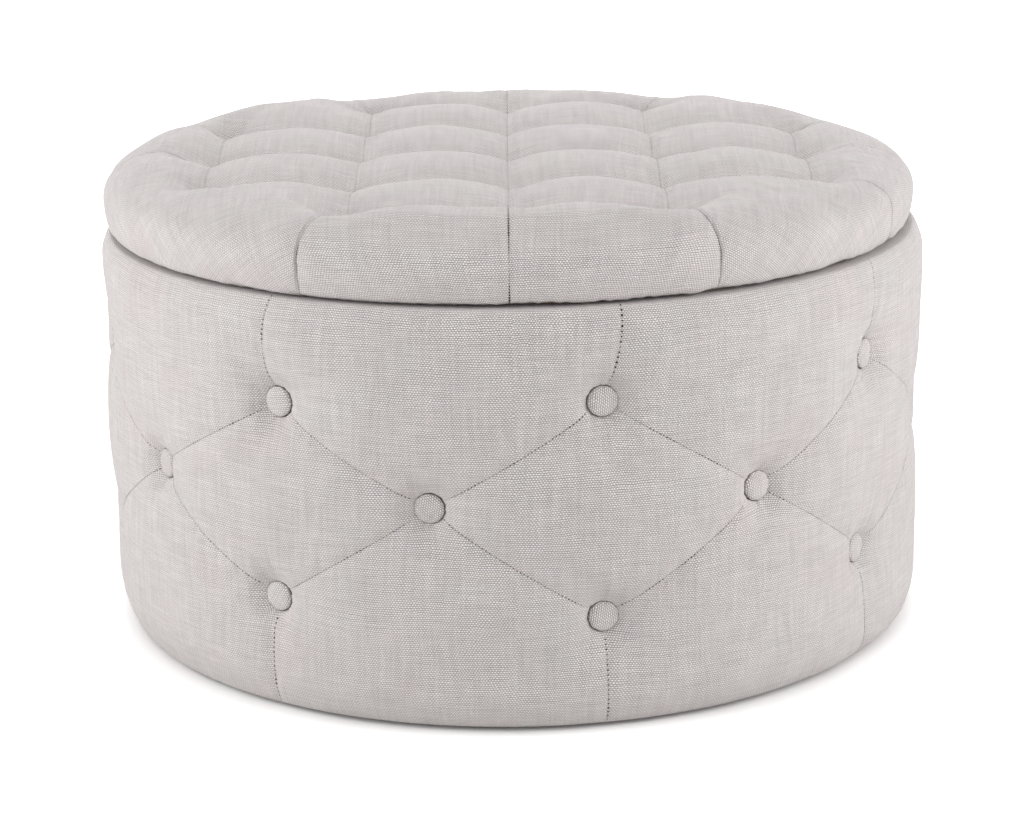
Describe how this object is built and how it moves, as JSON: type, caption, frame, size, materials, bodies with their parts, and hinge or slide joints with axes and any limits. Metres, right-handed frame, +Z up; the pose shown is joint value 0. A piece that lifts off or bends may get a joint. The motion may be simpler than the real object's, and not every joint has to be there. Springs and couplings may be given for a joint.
{
  "type": "round storage ottoman",
  "caption": "Round upholstered storage ottoman: a padded drum with covered buttons and diamond seams, and a loose padded lid with square blind tufting.",
  "frame": {"origin": "on the floor at the middle of the drum", "axes": "+Z up, -Y towards the front, +X to the right seen from the front"},
  "size_m": [0.799, 0.799, 0.4583],
  "materials": {
    "linen_cloth": "matte",
    "lining_cloth": "matte",
    "dust_cloth": "matte",
    "upholstery_foam": "matte",
    "birch_plywood": "matte",
    "pine": "matte",
    "fibreboard": "matte",
    "zinc_plated_steel": "satin",
    "staple_wire": "satin",
    "waxed_twine": "matte",
    "glide_plastic": "satin"
  },
  "bodies": {
    "base": {"glide_feet": "glide_plastic", "glide_nails": "zinc_plated_steel", "dust_cover": "dust_cloth", "bottom_board": "birch_plywood", "lower_hoop": "birch_plywood", "upper_hoop": "birch_plywood", "uprights": "pine", "hoop_screws": "zinc_plated_steel", "upright_screws": "zinc_plated_steel", "wall_nails": "zinc_plated_steel", "drum_wall": "birch_plywood", "side_padding": "upholstery_foam", "side_cover": "linen_cloth", "upper_row_buttons": "linen_cloth", "middle_row_buttons": "linen_cloth", "lower_row_buttons": "linen_cloth", "button_twines": "waxed_twine", "button_toggles": "pine", "bottom_staples": "staple_wire", "rim_staples": "staple_wire", "liner_board": "fibreboard", "side_lining": "lining_cloth", "floor_panel": "fibreboard", "floor_lining": "lining_cloth"},
    "lid": {"lid_board": "birch_plywood", "lid_cushion": "upholstery_foam", "lid_cover": "linen_cloth", "tuft_twines": "waxed_twine", "tuft_staples": "staple_wire", "lid_hem_staples": "staple_wire", "lid_lining": "lining_cloth", "locating_blocks": "pine", "block_screws": "zinc_plated_steel"}
  },
  "joints": [
    {"name": "lid_lift", "type": "slide", "parent": "base", "child": "lid", "axis": [0, 0, 1], "range_m": [0, 0.25]}
  ]
}
